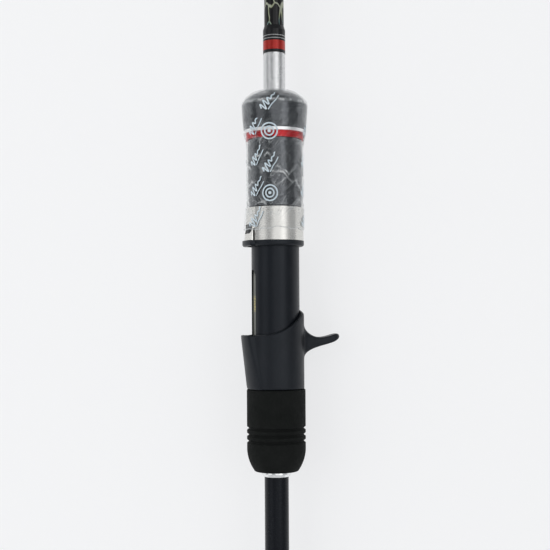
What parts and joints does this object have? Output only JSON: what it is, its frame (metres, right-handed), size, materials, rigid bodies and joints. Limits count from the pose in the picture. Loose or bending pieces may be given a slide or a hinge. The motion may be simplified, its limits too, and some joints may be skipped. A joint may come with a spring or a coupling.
{
  "type": "fishing rod",
  "caption": "One-piece casting rod with trigger reel seat, screw-locked moving hood, foam grips and ceramic guides; no reel fitted.",
  "frame": {"origin": "centre of the butt cap's flat end, on the rod's axis", "axes": "+Z along the rod from butt to tip, -X towards the guides and the reel, +X towards the finger trigger"},
  "size_m": [0.0628, 0.0356, 1.68],
  "materials": {
    "blank_lacquer": "gloss",
    "satin_carbon": "satin",
    "black_rubber": "matte",
    "foam_grip": "matte",
    "silver_anodised": "satin",
    "red_anodised": "satin",
    "polished_metal": "polished",
    "moulded_black": "matte",
    "seat_black": "satin",
    "saddle_grey": "satin",
    "arbor_foam": "matte",
    "silver_texture": "satin",
    "thread_black": "gloss",
    "thread_red": "gloss",
    "thread_silver": "satin",
    "guide_frame": "polished",
    "guide_ceramic": "gloss",
    "brushed_hood": "satin",
    "clear_film": "gloss"
  },
  "bodies": {
    "rod": {"blank": "blank_lacquer", "handle_tube": "satin_carbon", "butt_cap": "black_rubber", "butt_trim_ring": "silver_anodised", "butt_grip": "foam_grip", "butt_check": "silver_anodised", "rear_check": "polished_metal", "rear_grip": "foam_grip", "trigger_hood": "moulded_black", "seat_tube": "seat_black", "saddle_plate": "saddle_grey", "seat_arbor_rear": "arbor_foam", "seat_arbor_middle": "arbor_foam", "seat_arbor_front": "arbor_foam", "front_sleeve": "silver_texture", "wrap_collar": "thread_black", "wrap_red_band": "thread_red", "wrap_front": "thread_black", "wrap_silver_lines": "thread_silver", "tip_frame": "guide_frame", "tip_ring": "guide_ceramic", "tip_wrap": "thread_black", "guide_1_frame": "guide_frame", "guide_1_ring": "guide_ceramic", "guide_1_wraps": "thread_black", "guide_2_frame": "guide_frame", "guide_2_ring": "guide_ceramic", "guide_2_wraps": "thread_black", "guide_3_frame": "guide_frame", "guide_3_ring": "guide_ceramic", "guide_3_wraps": "thread_black", "guide_4_frame": "guide_frame", "guide_4_ring": "guide_ceramic", "guide_4_wraps": "thread_black", "guide_5_frame": "guide_frame", "guide_5_ring": "guide_ceramic", "guide_5_wraps": "thread_black", "guide_6_frame": "guide_frame", "guide_6_ring": "guide_ceramic", "guide_6_wraps": "thread_black", "guide_7_frame": "guide_frame", "guide_7_ring": "guide_ceramic", "guide_7_wraps": "thread_black"},
    "hood": {"hood_shell": "brushed_hood", "hood_liner": "moulded_black", "hood_retainer": "moulded_black", "hood_film": "clear_film"},
    "nut": {"lock_nut": "moulded_black", "foregrip_rear": "foam_grip", "trim_ring_red": "red_anodised", "trim_ring_silver": "silver_anodised", "foregrip_front": "foam_grip", "front_bush": "moulded_black", "grip_film": "clear_film"}
  },
  "joints": [
    {"name": "hood_slide", "type": "slide", "parent": "rod", "child": "hood", "axis": [0, 0, 1], "range_m": [-0.006, 0.014]},
    {"name": "nut_turn", "type": "hinge", "parent": "hood", "child": "nut", "pos_m": [0, 0, 0.45], "axis": [0, 0, 1], "range_deg": [-1080, 2520]}
  ],
  "couplings": [
    {"joint": "nut_turn", "follows": "hood_slide", "rad_per_m": 3141.6}
  ]
}
